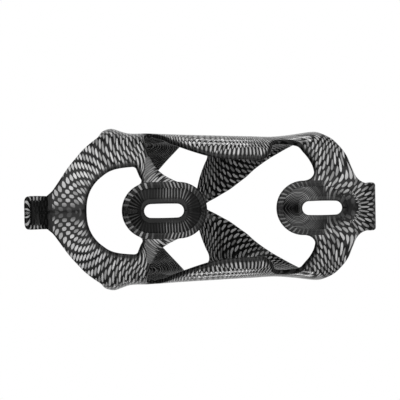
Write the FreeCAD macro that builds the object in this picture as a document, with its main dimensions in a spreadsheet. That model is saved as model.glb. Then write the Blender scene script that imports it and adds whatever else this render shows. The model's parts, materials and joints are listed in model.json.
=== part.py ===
import FreeCAD, Part
import math
import os
import Sketcher
from FreeCAD import Placement, Rotation, Vector

# A one-piece bottle cage, split into its named regions. Millimetres.
# Frame: +Z up along the bottle, +Y towards the bicycle frame, origin midway between the two bolt
# slots in the plane of their contact lands. "right" is the +X side.

doc = FreeCAD.newDocument("BottleCage")

# ---------------------------------------------------------------- driving dimensions
DIMENSIONS = {
    "slot_spacing": 73.75,        # slot centre to slot centre
    "slot_length": 18.5,
    "slot_width": 6.4,            # passes an M5 bolt
    "land_radius": 4.7,           # end radius of the flat land that touches the frame
    "dome_radius": 10.3,          # end radius of the boss's sloping wall where it meets the rim
    "rim_depth": 6.2,             # land to rim face
    "rim_thickness": 2.8,
    "seat_depth": 2.6,            # plastic under the bolt head
    "seat_radius": 5.0,
    "recess_radius": 8.7,
    "upper_rim_radius": 13.4,
    "upper_rim_centres": 13.6,
    "lower_rim_radius": 12.9,
    "lower_rim_centres": 10.0,
    "lower_rim_height": -33.9,    # middle of the lower boss's rim
    "wall_thickness": 2.5,
    "axis_depth": 45.4,           # bottle axis in front of the contact plane
    "half_depth": 40.9,           # outer half-depth of the oval
    "side_depth": 15.0,           # from the bottle axis forward to the claws' flex line
    "flex_gap": 0.5,
    "tongue_width": 15.2,
    "tongue_thickness": 2.6,
    "foot_width": 23.2,
    "foot_thickness": 2.6,
    "corner_radius": 3.0,
}

# The oval's outer half-width at each height, and how far its half-depth swells there: the cradle, the
# waist, the side bands, the collar and its flared ears.
OVAL_STATIONS = [
    (-58.0, 36.6, 0.0), (-46.0, 37.4, 0.0), (-38.0, 37.8, 0.0), (-28.0, 36.6, 0.0), (-18.0, 35.7, 0.0),
    (-6.0, 36.1, 0.0), (14.0, 36.9, 0.0), (30.0, 37.6, 0.0), (46.0, 38.5, 0.0), (58.0, 39.1, 0.0),
    (61.5, 40.4, 0.4), (64.5, 41.4, 0.8), (68.0, 40.6, 0.4), (73.0, 39.4, 0.0), (92.0, 38.6, 0.0),
]

sheet = doc.addObject("Spreadsheet::Sheet", "dims")
for row, (alias, value) in enumerate(DIMENSIONS.items(), start=1):
    sheet.set("A%d" % row, alias)
    sheet.set("B%d" % row, str(value))
    sheet.setAlias("B%d" % row, alias)
for number, (height, half_width, swelling) in enumerate(OVAL_STATIONS, start=1):
    row = len(DIMENSIONS) + number
    alias = "half_width_%d" % number
    sheet.set("A%d" % row, alias)
    sheet.set("B%d" % row, str(half_width))
    sheet.setAlias("B%d" % row, alias)
doc.recompute()

AXIS_Y = -DIMENSIONS["axis_depth"]
FLEX_Y = AXIS_Y - DIMENSIONS["side_depth"]
BEYOND = 46.0                     # an x outside the oval
WITHIN = 25.0                     # an x inside the oval, short of its side walls
CLEARANCE = 2.0                   # how far cutting shapes start behind the contact plane
FRONT_REACH = 40.0                # from the flex line to past the front of the oval
BRIDGE_HALF = 8.0                 # half-width of the front bridge
CUT_TOP = 44.0                    # height where the collar ends and the side band begins
CUT_NECK = -17.3                  # height where the side band ends and the cradle begins
TONGUE_ROOT = 89.5                # height of the tongue's flex line
FOOT_ROOT = -54.0                 # height where the foot leaves the cradle
FOOT_EDGE = DIMENSIONS["foot_width"] / 2

# ---------------------------------------------------------------- outlines, seen along Y, right half
# Each outline is a list of runs. A run of two points is straight and a longer one is a smooth curve.
COLLAR_INNER = [(0, 73.5), (6.8, 72.8), (11.3, 71.0), (14.9, 68.3), (17.9, 64.6), (20.2, 59.0),
                (21.0, 51.0)]
COLLAR_OUTER = [(41.5, 65.0), (40.9, 67.2), (39.2, 69.0), (33.2, 73.0), (25.4, 79.6), (15.4, 86.3),
                (10.6, 89.2)]
STRUT_LOWER = [(25.6, 43.8), (19.7, 40.3), (15.6, 36.5), (13.6, 31.5)]
COLLAR_LOWER = [(25.6, 43.8), (31.2, 45.8), (38.0, 46.6)]
BAND_EDGE = [(38.0, 43.0), (35.6, 39.6), (30.6, 28.6), (25.9, 15.6), (24.2, 5.0), (23.8, -9.0)]
BAND_HEEL = [(23.8, -9.0), (24.6, -12.2), (27.4, -14.9), (31.9, CUT_NECK)]
CRADLE_INNER = [(31.9, CUT_NECK), (31.5, -23.0), (30.2, -28.0), (26.6, -30.5), (20.8, -33.6),
                (16.4, -34.2), (13.6, -31.6), (12.6, -28.0)]
CRADLE_OUTER = [(FOOT_EDGE, FOOT_ROOT), (15.0, -53.7), (18.5, -52.7), (24.2, -51.0), (29.7, -48.0),
                (33.6, -45.0), (37.2, -40.6)]
CLAW_OUTLINE = [(40.0, 63.2), (36.0, 61.4), (32.0, 59.3), (24.6, 54.0), (17.8, 48.9), (16.4, 46.6),
                (17.6, 44.7), (24.0, 38.8), (30.6, 32.0), (33.4, 28.6), (36.4, 26.6)]
STRAP_UPPER = [(BRIDGE_HALF, 22.1), (18.8, 19.0), (26.6, 15.7), (31.4, 17.4), (34.2, 22.4), (36.4, 25.2)]
STRAP_LOWER = [(35.6, -35.4), (32.8, -30.6), (26.4, -19.1), (18.4, -8.4), (12.3, -1.0), (BRIDGE_HALF, 5.2)]
BRIDGE_LOWER = [(BRIDGE_HALF, 5.2), (3.9, 12.3), (1.7, 16.3), (0, 17.4),
                (-1.7, 16.3), (-3.9, 12.3), (-BRIDGE_HALF, 5.2)]
BRIDGE_UPPER = [(-BRIDGE_HALF, 22.1), (0, 23.8), (BRIDGE_HALF, 22.1)]


def add_run(sketch, points):
    """Adds one straight or smooth run to a sketch."""
    corners = [Vector(x, z, 0) for x, z in points]
    if len(corners) == 2:
        sketch.addGeometry(Part.LineSegment(corners[0], corners[1]), False)
        return
    curve = Part.BSplineCurve()
    curve.interpolate(corners)
    sketch.addGeometry(curve, False)


def prism(name, runs, depth, length):
    """An outline drawn on the plane at a depth behind the contact plane, extruded forward by length."""
    sketch = doc.addObject("Sketcher::SketchObject", name + "_outline")
    sketch.Placement = Placement(Vector(0, 0, 0), Rotation(Vector(1, 0, 0), 90))
    sketch.setExpression(".Placement.Base.y", "-(%s)" % depth)
    for points in runs:
        add_run(sketch, points)
    solid = doc.addObject("Part::Extrusion", name + "_prism")
    solid.Base = sketch
    solid.DirMode = "Custom"
    solid.Dir = Vector(0, -1, 0)
    solid.setExpression("LengthFwd", length)
    solid.Solid = True
    return solid


def back_prism(name, runs):
    return prism(name + "_back", runs, str(-CLEARANCE), "dims.axis_depth + %s" % CLEARANCE)


def side_prism(name, runs):
    return prism(name + "_side", runs, "dims.axis_depth", "dims.side_depth - dims.flex_gap / 2")


def front_prism(name, runs, gap="-dims.flex_gap / 2"):
    return prism(name + "_front", runs, "dims.axis_depth + dims.side_depth + (%s)" % gap, str(FRONT_REACH))


def oval(name, height, half_width, half_depth):
    """One oval section of the tube, its long axis along Y."""
    ellipse = doc.addObject("Part::Ellipse", name)
    ellipse.Placement = Placement(Vector(0, 0, height), Rotation(Vector(0, 0, 1), 90))
    ellipse.setExpression(".Placement.Base.y", "-dims.axis_depth")
    ellipse.setExpression("MajorRadius", half_depth)
    ellipse.setExpression("MinorRadius", half_width)
    return ellipse


def oval_loft(name, inset):
    """The oval tube's surface, inset from its outer face."""
    loft = doc.addObject("Part::Loft", name)
    loft.Sections = [oval("%s_%d" % (name, number), height, "dims.half_width_%d - %s" % (number, inset),
                          "dims.half_depth + %s - %s" % (swelling, inset))
                     for number, (height, half_width, swelling) in enumerate(OVAL_STATIONS, start=1)]
    loft.Solid = True
    loft.Ruled = True
    return loft


def combine(kind, name, *shapes):
    result = doc.addObject(kind, name)
    result.Shapes = list(shapes)
    return result


def cut(name, base, tool):
    result = doc.addObject("Part::Cut", name)
    result.Base = base
    result.Tool = tool
    return result


def region(name, *prisms):
    """The part of the oval tube that lies inside the prisms."""
    mask = prisms[0] if len(prisms) == 1 else combine("Part::MultiFuse", name + "_mask", *prisms)
    return combine("Part::MultiCommon", name, tube, mask)


def origin_plane(body, role):
    return next(item for item in body.Origin.OriginFeatures if item.Role == role)


def new_body(name):
    body = doc.addObject("PartDesign::Body", name)
    body.Label = name
    return body


def body_sketch(body, name, role, depth="0"):
    sketch = body.newObject("Sketcher::SketchObject", name)
    sketch.AttachmentSupport = (origin_plane(body, role), [""])
    sketch.MapMode = "FlatFace"
    sketch.setExpression(".AttachmentOffset.Base.z", depth)
    return sketch


def size(alias):
    """A driving dimension as its value and the expression that binds to it."""
    return DIMENSIONS[alias], "dims." + alias


SLOT_CENTRES = (DIMENSIONS["slot_length"] - DIMENSIONS["slot_width"], "dims.slot_length - dims.slot_width")
SLOT_RADIUS = (DIMENSIONS["slot_width"] / 2, "dims.slot_width / 2")
UPPER_HEIGHT = (DIMENSIONS["slot_spacing"] / 2, "dims.slot_spacing / 2")
LOWER_HEIGHT = (-DIMENSIONS["slot_spacing"] / 2, "-dims.slot_spacing / 2")


def stadium_sketch(body, name, radius, centres, height, depth):
    """An upright slot shape, driven by its end radius, centre distance and middle height."""
    sketch = body_sketch(body, name, "XZ_Plane", depth)
    reach = Vector(0, centres[0] / 2, 0)
    across = Vector(radius[0], 0, 0)
    top = Vector(0, height[0], 0) + reach
    bottom = Vector(0, height[0], 0) - reach
    up = Vector(0, 0, 1)
    sketch.addGeometry(Part.ArcOfCircle(Part.Circle(top, up, radius[0]), 0, math.pi), False)
    sketch.addGeometry(Part.LineSegment(top - across, bottom - across), False)
    sketch.addGeometry(Part.ArcOfCircle(Part.Circle(bottom, up, radius[0]), math.pi, 2 * math.pi), False)
    sketch.addGeometry(Part.LineSegment(bottom + across, top + across), False)
    for first in range(4):
        sketch.addConstraint(Sketcher.Constraint("Tangent", first, 2, (first + 1) % 4, 1))
    for arc in (0, 2):
        sketch.addConstraint(Sketcher.Constraint("PointOnObject", arc, 3, -2))
    upper = "(%s) + (%s) / 2" % (height[1], centres[1])
    lower = "(%s) - (%s) / 2" % (height[1], centres[1])
    driven = [
        ("end_radius", Sketcher.Constraint("Radius", 0, radius[0]), radius[1]),
        ("upper_centre", Sketcher.Constraint("DistanceY", -1, 1, 0, 3, top.y), upper),
        ("lower_centre", Sketcher.Constraint("DistanceY", -1, 1, 2, 3, bottom.y), lower),
    ]
    for label, constraint, expression in driven:
        index = sketch.addConstraint(constraint)
        sketch.renameConstraint(index, label)
        sketch.setExpression("Constraints." + label, expression)
    return sketch


def boss(name, height, rim_radius, rim_centres, rim_height):
    """A raised mount: a flat rim, a sloping wall up to the slotted land, and a recess for the bolt head."""
    body = new_body(name)
    mouth_depth = "dims.rim_depth + dims.rim_thickness"
    rim = body.newObject("PartDesign::Pad", name + "_rim")
    rim.Profile = stadium_sketch(body, name + "_rim_outline", rim_radius, rim_centres, rim_height,
                                 "dims.rim_depth")
    rim.setExpression("Length", "dims.rim_thickness")
    base = stadium_sketch(body, name + "_base", size("dome_radius"), SLOT_CENTRES, height, "dims.rim_depth")
    land = stadium_sketch(body, name + "_land", size("land_radius"), SLOT_CENTRES, height, "0")
    mouth = stadium_sketch(body, name + "_mouth", size("recess_radius"), SLOT_CENTRES, height, mouth_depth)
    seat = stadium_sketch(body, name + "_seat", size("seat_radius"), SLOT_CENTRES, height, "dims.seat_depth")
    hole = stadium_sketch(body, name + "_hole", SLOT_RADIUS, SLOT_CENTRES, height, "0")
    dome = body.newObject("PartDesign::AdditiveLoft", name + "_dome")
    dome.Profile = base
    dome.Sections = [land]
    recess = body.newObject("PartDesign::SubtractiveLoft", name + "_recess")
    recess.Profile = mouth
    recess.Sections = [seat]
    slot = body.newObject("PartDesign::Pocket", name + "_slot")
    slot.Profile = hole
    slot.Type = "ThroughAll"
    slot.Midplane = True
    body.Tip = slot
    doc.recompute()
    if not slot.Shape.Volume < recess.Shape.Volume < dome.Shape.Volume:
        raise RuntimeError(name + ": a cut removed nothing")
    return body


def keep_out(name, radius, centres, height):
    """An upright stadium through the back wall, used to trim the shell round a boss."""
    body = new_body(name)
    pad = body.newObject("PartDesign::Pad", name + "_pad")
    pad.Profile = stadium_sketch(body, name + "_outline", radius, centres, height, str(-CLEARANCE))
    pad.setExpression("Length", "dims.axis_depth / 2")
    body.Tip = pad
    doc.recompute()
    return body


def strip_runs(path, thickness):
    """The two long sides and two ends of a strip of even thickness along a path of (y, z) points."""
    left, right = [], []
    for index, (y, z) in enumerate(path):
        before = path[max(index - 1, 0)]
        after = path[min(index + 1, len(path) - 1)]
        run = math.hypot(after[0] - before[0], after[1] - before[1])
        normal = (-(after[1] - before[1]) / run, (after[0] - before[0]) / run)
        left.append((y + normal[0] * thickness / 2, z + normal[1] * thickness / 2))
        right.append((y - normal[0] * thickness / 2, z - normal[1] * thickness / 2))
    return [left, [left[-1], right[-1]], right[::-1], [right[0], left[0]]]


def corner_edges(shape, end_point, reach):
    """Names of the two edges that cross a strip's thickness at its free end."""
    found = []
    for number, edge in enumerate(shape.Edges, start=1):
        ends = [vertex.Point for vertex in edge.Vertexes]
        if len(ends) < 2 or abs(ends[0].x - ends[1].x) > 0.01:
            continue
        if all((point - Vector(point.x, *end_point)).Length < reach for point in ends):
            found.append("Edge%d" % number)
    return found


def strip_body(name, path, thickness, width, end_radius):
    """A bent strip of even thickness and width, its free end's corners rounded."""
    body = new_body(name)
    profile = body_sketch(body, name + "_profile", "YZ_Plane")
    for points in strip_runs(path, thickness):
        add_run(profile, points)
    pad = body.newObject("PartDesign::Pad", name + "_pad")
    pad.Profile = profile
    pad.Midplane = True
    pad.setExpression("Length", width)
    doc.recompute()
    rounded = body.newObject("PartDesign::Fillet", name + "_corners")
    rounded.Base = (pad, corner_edges(pad.Shape, path[-1], thickness))
    rounded.Radius = end_radius
    body.Tip = rounded
    doc.recompute()
    return body


def mirrored(name, source):
    mirror = doc.addObject("Part::Mirroring", name)
    mirror.Source = source
    mirror.Normal = Vector(1, 0, 0)
    mirror.Base = Vector(0, 0, 0)
    return mirror


# ---------------------------------------------------------------- the oval tube and the bosses
tube = cut("tube", oval_loft("outer_oval", "0"), oval_loft("inner_oval", "dims.wall_thickness"))

upper_boss = boss("upper_boss", UPPER_HEIGHT, size("upper_rim_radius"), size("upper_rim_centres"),
                  UPPER_HEIGHT)
lower_boss = boss("lower_boss", LOWER_HEIGHT, size("lower_rim_radius"), size("lower_rim_centres"),
                  size("lower_rim_height"))
upper_space = keep_out("upper_space", size("upper_rim_radius"), size("upper_rim_centres"), UPPER_HEIGHT)
lower_space = combine("Part::MultiFuse", "lower_space",
                      keep_out("lower_rim_space", size("lower_rim_radius"), size("lower_rim_centres"),
                               size("lower_rim_height")),
                      keep_out("lower_dome_space", size("dome_radius"), SLOT_CENTRES, LOWER_HEIGHT))

# ---------------------------------------------------------------- regions of the tube, right side
collar = region(
    "collar_right",
    back_prism("collar", [COLLAR_INNER, [(21.0, 51.0), (25.6, 43.8)], COLLAR_LOWER,
                          [(38.0, 46.6), (BEYOND, 46.6)], [(BEYOND, 46.6), (BEYOND, 65.0)],
                          [(BEYOND, 65.0), (41.5, 65.0)], COLLAR_OUTER,
                          [(10.6, 89.2), (0, 89.2)], [(0, 89.2), (0, 73.5)]]),
    side_prism("collar", [[(WITHIN, CUT_TOP), (BEYOND, CUT_TOP)], [(BEYOND, CUT_TOP), (BEYOND, 65.0)],
                          [(BEYOND, 65.0), (41.5, 65.0)],
                          [(41.5, 65.0), (40.0, 63.2), (36.0, 61.4), (WITHIN, 56.0)],
                          [(WITHIN, 56.0), (WITHIN, CUT_TOP)]]))
strut = cut("strut_right", region(
    "strut_whole",
    back_prism("strut", [[(21.0, 51.0), (8, 45.6)], [(8, 45.6), (8, 31.5)], [(8, 31.5), (13.6, 31.5)],
                         STRUT_LOWER[::-1], [(25.6, 43.8), (21.0, 51.0)]])), upper_space)
band = region(
    "band_right",
    back_prism("band", [BAND_EDGE, BAND_HEEL, [(31.9, CUT_NECK), (BEYOND, CUT_NECK)],
                        [(BEYOND, CUT_NECK), (BEYOND, 43.0)], [(BEYOND, 43.0), (38.0, 43.0)]]),
    side_prism("band", [[(WITHIN, CUT_NECK), (BEYOND, CUT_NECK)], [(BEYOND, CUT_NECK), (BEYOND, CUT_TOP)],
                        [(BEYOND, CUT_TOP), (WITHIN, CUT_TOP)], [(WITHIN, CUT_TOP), (WITHIN, CUT_NECK)]]))
cradle = cut("cradle_right", region(
    "cradle_whole",
    back_prism("cradle", [CRADLE_INNER, [(12.6, -28.0), (0, -28.0)], [(0, -28.0), (0, FOOT_ROOT)],
                          [(0, FOOT_ROOT), (FOOT_EDGE, FOOT_ROOT)], CRADLE_OUTER,
                          [(37.2, -40.6), (BEYOND, -39.0)], [(BEYOND, -39.0), (BEYOND, CUT_NECK)],
                          [(BEYOND, CUT_NECK), (31.9, CUT_NECK)]]),
    side_prism("cradle", [[(WITHIN, CUT_NECK), (WITHIN, -30.0)], [(WITHIN, -30.0), (35.6, -35.4)],
                          [(35.6, -35.4), (37.6, -39.2)],
                          [(37.6, -39.2), (BEYOND, -39.2)], [(BEYOND, -39.2), (BEYOND, CUT_NECK)],
                          [(BEYOND, CUT_NECK), (WITHIN, CUT_NECK)]])), lower_space)
claw = region(
    "claw_right",
    front_prism("claw", [CLAW_OUTLINE, [(36.4, 26.6), (BEYOND, 26.6)], [(BEYOND, 26.6), (BEYOND, 63.2)],
                         [(BEYOND, 63.2), (40.0, 63.2)]], "dims.flex_gap / 2"))
strap = region(
    "strap_right",
    front_prism("strap", [STRAP_UPPER, [(36.4, 25.2), (BEYOND, 25.2)], [(BEYOND, 25.2), (BEYOND, -35.4)],
                          [(BEYOND, -35.4), (35.6, -35.4)], STRAP_LOWER,
                          [(BRIDGE_HALF, 5.2), (BRIDGE_HALF, 22.1)]]))
bridge = region(
    "front_bridge",
    front_prism("bridge", [BRIDGE_UPPER, [(BRIDGE_HALF, 22.1), (BRIDGE_HALF, 5.2)], BRIDGE_LOWER,
                           [(-BRIDGE_HALF, 5.2), (-BRIDGE_HALF, 22.1)]]))

# ---------------------------------------------------------------- tongue and foot
middle_wall = -(DIMENSIONS["axis_depth"] - DIMENSIONS["half_depth"] + DIMENSIONS["wall_thickness"] / 2)
half_gap = DIMENSIONS["flex_gap"] / 2
TONGUE_PATH = [(middle_wall, TONGUE_ROOT + half_gap), (middle_wall, 91.0), (-6.9, 93.0), (-8.3, 95.4),
               (-8.5, 98.0), (-6.6, 100.8), (-3.6, 101.9)]
FOOT_PATH = [(middle_wall, FOOT_ROOT), (middle_wall, -55.8), (-6.5, -58.4), (-8.7, -60.9), (-12.4, -62.5),
             (-18.0, -62.8), (-25.0, -62.7), (-31.0, -62.2)]
tongue = strip_body("top_tongue", TONGUE_PATH, DIMENSIONS["tongue_thickness"], "dims.tongue_width",
                    DIMENSIONS["corner_radius"])
foot = strip_body("foot", FOOT_PATH, DIMENSIONS["foot_thickness"], "dims.foot_width",
                  DIMENSIONS["corner_radius"])

pairs = [("collar", collar), ("strut", strut), ("band", band), ("cradle", cradle), ("claw", claw),
         ("strap", strap)]
subparts = {"upper_boss": upper_boss, "lower_boss": lower_boss, "front_bridge": bridge,
            "top_tongue": tongue, "foot": foot}
for name, right_side in pairs:
    subparts[name + "_right"] = right_side
    subparts[name + "_left"] = mirrored(name + "_left", right_side)
for name, item in subparts.items():
    item.Label = name

doc.recompute()

# ---------------------------------------------------------------- check and write
for item in doc.Objects:
    if "Invalid" in item.State or "Error" in item.State:
        raise RuntimeError("%s failed: %s" % (item.Name, item.State))
for name, item in subparts.items():
    if item.Shape.isNull() or not item.Shape.isValid() or not item.Shape.Solids:
        raise RuntimeError("%s has no valid solid" % name)

os.makedirs("parts", exist_ok=True)
for name, item in subparts.items():
    item.Shape.exportStep("parts/%s.step" % name)
    print("%-14s %d solid %8.1f mm3" % (name, len(item.Shape.Solids), item.Shape.Volume))
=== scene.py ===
import json
import math

import bpy
import numpy as np
from mathutils import Matrix, Vector
from mathutils.geometry import delaunay_2d_cdt


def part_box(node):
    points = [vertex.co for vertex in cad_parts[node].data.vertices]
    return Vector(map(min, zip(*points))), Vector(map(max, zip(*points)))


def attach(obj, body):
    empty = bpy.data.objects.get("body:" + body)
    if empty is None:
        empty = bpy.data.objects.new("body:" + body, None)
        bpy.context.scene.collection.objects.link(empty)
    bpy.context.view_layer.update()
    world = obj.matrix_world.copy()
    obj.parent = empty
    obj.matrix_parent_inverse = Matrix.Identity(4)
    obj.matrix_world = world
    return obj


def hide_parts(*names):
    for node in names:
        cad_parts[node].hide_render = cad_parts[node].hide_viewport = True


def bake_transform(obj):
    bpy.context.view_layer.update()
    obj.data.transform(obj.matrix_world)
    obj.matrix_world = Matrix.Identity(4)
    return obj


# A moulded bottle cage with a printed, clear-coated skin. Lengths are millimetres until a mesh is
# written. The skin is laid out flat first: s runs round the oval from the back's middle line to the
# front's, and t runs along the bottle. "right" is the +X side.

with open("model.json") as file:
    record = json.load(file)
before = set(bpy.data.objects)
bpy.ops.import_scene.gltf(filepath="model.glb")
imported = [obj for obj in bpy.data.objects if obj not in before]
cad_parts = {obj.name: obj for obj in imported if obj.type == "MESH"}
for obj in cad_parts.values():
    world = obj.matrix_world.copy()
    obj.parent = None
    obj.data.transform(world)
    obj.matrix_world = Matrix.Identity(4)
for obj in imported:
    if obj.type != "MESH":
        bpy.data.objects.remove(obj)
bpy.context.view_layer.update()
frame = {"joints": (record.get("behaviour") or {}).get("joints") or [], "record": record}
MM = 0.001

# -------- sizes that the frame gives
mounts = {mount["name"]: mount for mount in frame["record"]["mounts"]}
joints = {joint["name"]: joint for joint in frame["joints"]}
bolts = mounts["frame_bolts"]["dims"]
SLOT_HEIGHT = bolts["spacing_y_mm"] / 2
SLOT_RADIUS = bolts["hole_r_mm"]
SLOT_REACH = bolts["slot_length_mm"] / 2 - SLOT_RADIUS
AXIS_Y = mounts["bottle_seat"]["pos_m"][1] / MM
FLEX_Y = joints["right_claw_flex"]["pos_m"][1] / MM
TONGUE_ROOT = joints["tongue_flex"]["pos_m"][2] / MM
FOOT_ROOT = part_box("foot")[1].z / MM
FOOT_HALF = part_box("foot")[1].x / MM
UPPER_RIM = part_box("upper_boss")[1].x / MM
LOWER_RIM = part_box("lower_boss")[1].x / MM

# -------- the oval shell
WALL = 2.5
EDGE_ROLL = 1.6  # how far in from an edge the skin rounds over
SLOT_ROLL = 0.7
HALF_WIDTH = 37.0  # a middling one, which s is measured round
HALF_DEPTH = 40.9
# height, outer half-width and extra half-depth of the oval
STATIONS = [
    (-58.0, 36.6, 0.0), (-46.0, 37.4, 0.0), (-38.0, 37.8, 0.0), (-28.0, 36.6, 0.0), (-18.0, 35.7, 0.0),
    (-6.0, 36.1, 0.0), (14.0, 36.9, 0.0), (30.0, 37.6, 0.0), (46.0, 38.5, 0.0), (58.0, 39.1, 0.0),
    (61.5, 40.3, 0.4), (64.5, 41.2, 0.8), (68.0, 40.5, 0.4), (73.0, 39.4, 0.0), (92.0, 38.6, 0.0),
]
# how far forward and up, from their roots, the tongue and the foot run
TONGUE_PATH = [(0.0, 0.0), (0.0, 1.5), (-1.15, 3.5), (-2.55, 5.9), (-2.75, 8.5), (-0.85, 11.3), (2.15, 12.4)]
FOOT_PATH = [(0.0, 0.0), (0.0, -1.8), (-0.75, -4.4), (-2.95, -6.9), (-6.65, -8.5), (-12.25, -8.8),
             (-19.25, -8.7), (-25.25, -8.2)]
FADE = 9.0  # distance over which the tongue and foot lose the oval's curve

# -------- the bosses
LAND_RADIUS = 4.7
RIM_DEPTH = 6.2  # contact plane to the rim's face
# a boss's rim is a stadium about its own middle, with straight sides of twice its reach
BOSSES = {
    "upper": {"slot": SLOT_HEIGHT, "middle": SLOT_HEIGHT, "reach": 6.8, "radius": UPPER_RIM, "bead": 0.5},
    "lower": {"slot": -SLOT_HEIGHT, "middle": -33.9, "reach": 5.0, "radius": LOWER_RIM, "bead": 0.25},
}
RIM_WIDTH = 3.3  # rim's edge to the crease at the foot of the slope
RIM_BLEND = 5.0  # distance over which a rim runs into the shell
BEAD_PLACE = RIM_WIDTH * 0.46
BEAD_SPREAD = 0.95
CREASE_DEPTH = 0.3
CREASE_SPREAD = 0.4
BOSS_ANGLE = 1.0  # radians from the back's middle line, beyond which there is no boss

# -------- how finely the skin is cut up
SPACING = 0.9  # point spacing in the open
EDGE_SPACING = 0.62
SLOT_SPACING = 0.45
RING_STEPS = 6  # lines of points where an edge rolls over
ARC_STEPS = 25  # points on each drawn arc
FINE_STEP = 0.04  # step at which a laid line is walked along
LAID_GAP = 17  # least number of those steps between a laid line's points
BEYOND_EDGE = 0.3  # how far a laid line sticks out of the outline
LINE_CLEAR = 0.2  # least gap between a ring's point and a laid line or the middle lines
GRID_CLEAR = 0.4  # least gap between an open point and a laid line or the last ring
SLOT_CLEAR = 0.35
MIDDLE_CLEAR = 0.42
CROWDED = 0.35 * SLOT_SPACING  # least gap between a ring's points


def smooth_curve(points, steps=12):
    """A smooth curve through points, as a fine list of points."""
    p = np.array(points, float)
    gaps = np.linalg.norm(np.diff(p[:, :2], axis=0), axis=1)[:, None]
    slopes = np.diff(p, axis=0) / gaps
    inner = (slopes[1:] * gaps[:-1] + slopes[:-1] * gaps[1:]) / (gaps[1:] + gaps[:-1])
    slopes_at = np.vstack([slopes[:1], inner, slopes[-1:]])
    share = np.linspace(0, 1, steps, endpoint=False)[:, None]
    rise = share ** 2 * (3 - 2 * share)
    leave = share * (1 - share) ** 2
    arrive = -share ** 2 * (1 - share)
    pieces = [a + (b - a) * rise + gap * (leave * from_a + arrive * into_b)
              for a, b, gap, from_a, into_b in zip(p, p[1:], gaps, slopes_at, slopes_at[1:])]
    return np.vstack(pieces + [p[-1:]])


def lengths_along(points):
    return np.concatenate([[0], np.cumsum(np.linalg.norm(np.diff(points, axis=0), axis=1))])


def resample(points, spacing):
    """Points at an even spacing along a polyline, both ends kept."""
    length = lengths_along(points)
    count = max(1, round(length[-1] / spacing))
    where = np.linspace(0, length[-1], count + 1)
    return np.column_stack([np.interp(where, length, points[:, k]) for k in range(points.shape[1])])


def smoothstep(value, low, high):
    share = np.clip((value - low) / (high - low), 0, 1)
    return share * share * (3 - 2 * share)


def soft_ramp(value, rounding=0.006):
    """0 below 0 and 1 above 1, straight between, with rounded bends."""
    return 0.5 * (np.sqrt(value ** 2 + rounding) - np.sqrt((value - 1) ** 2 + rounding) + 1)


# Heights between stations follow a curve, so the flared ears are round.
station_curve = smooth_curve(STATIONS, 60)
# the half-axes of the oval through the wall's middle
MIDDLE_A = HALF_WIDTH - WALL / 2
MIDDLE_B = HALF_DEPTH - WALL / 2
angle_steps = np.linspace(0, math.pi, 1441)
arc_steps = np.column_stack([MIDDLE_A * np.sin(angle_steps), MIDDLE_B * np.cos(angle_steps)])
arc_lengths = lengths_along(arc_steps)
FRONT = arc_lengths[-1]  # s on the front's middle line


def half_width(z):
    return np.interp(z, station_curve[:, 0], station_curve[:, 1]) - WALL / 2


def half_depth(z):
    return MIDDLE_B + np.interp(z, station_curve[:, 0], station_curve[:, 2])


def around(degrees, z):
    """The flat layout's point at an angle round the oval from the back, at a height."""
    return float(np.interp(math.radians(degrees), angle_steps, arc_lengths)), z


def back(x, z):
    """The flat layout's point seen at (x, z) on the back half."""
    return around(math.degrees(math.asin(min(1.0, x / half_width(z)))), z)


def front(x, z):
    """The flat layout's point seen at (x, z) on the front half."""
    return around(180 - math.degrees(math.asin(min(1.0, x / half_width(z)))), z)


def on_back(*points):
    return [back(*p) for p in points]


def on_front(*points):
    return [front(*p) for p in points]


tongue_line = smooth_curve(TONGUE_PATH)
foot_line = smooth_curve(FOOT_PATH)
tongue_run = lengths_along(tongue_line)
foot_run = lengths_along(foot_line)
TONGUE_TIP = TONGUE_ROOT + tongue_run[-1]
FOOT_TIP = FOOT_ROOT - foot_run[-1]


def segment_distance(x, z, low, high):
    """Distance to the upright segment on the middle line from low to high."""
    return np.hypot(x, z - np.clip(z, low, high))


def rim_ends(boss):
    """The heights between which a rim's sides are straight."""
    return boss["middle"] - boss["reach"], boss["middle"] + boss["reach"]


def boss_fields(boss, x, z):
    """Distance from the slot's middle segment, and depth inside the rim's edge."""
    q = segment_distance(x, z, boss["slot"] - SLOT_REACH, boss["slot"] + SLOT_REACH)
    return q, boss["radius"] - segment_distance(x, z, *rim_ends(boss))


def slope_share(q, inside):
    """0 at the land's edge and 1 at the crease."""
    return (q - LAND_RADIUS) / np.maximum(q + inside - RIM_WIDTH - LAND_RADIUS, 1.0)


def boss_depth(boss, q, inside):
    """y of the wall's middle on a boss: land, slope, crease and rim bead."""
    bead = boss["bead"] * np.exp(-((inside - BEAD_PLACE) / BEAD_SPREAD) ** 2)
    crease = CREASE_DEPTH * np.exp(-((inside - RIM_WIDTH) / CREASE_SPREAD) ** 2)
    return -WALL / 2 - RIM_DEPTH * soft_ramp(slope_share(q, inside)) + bead - crease


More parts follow.
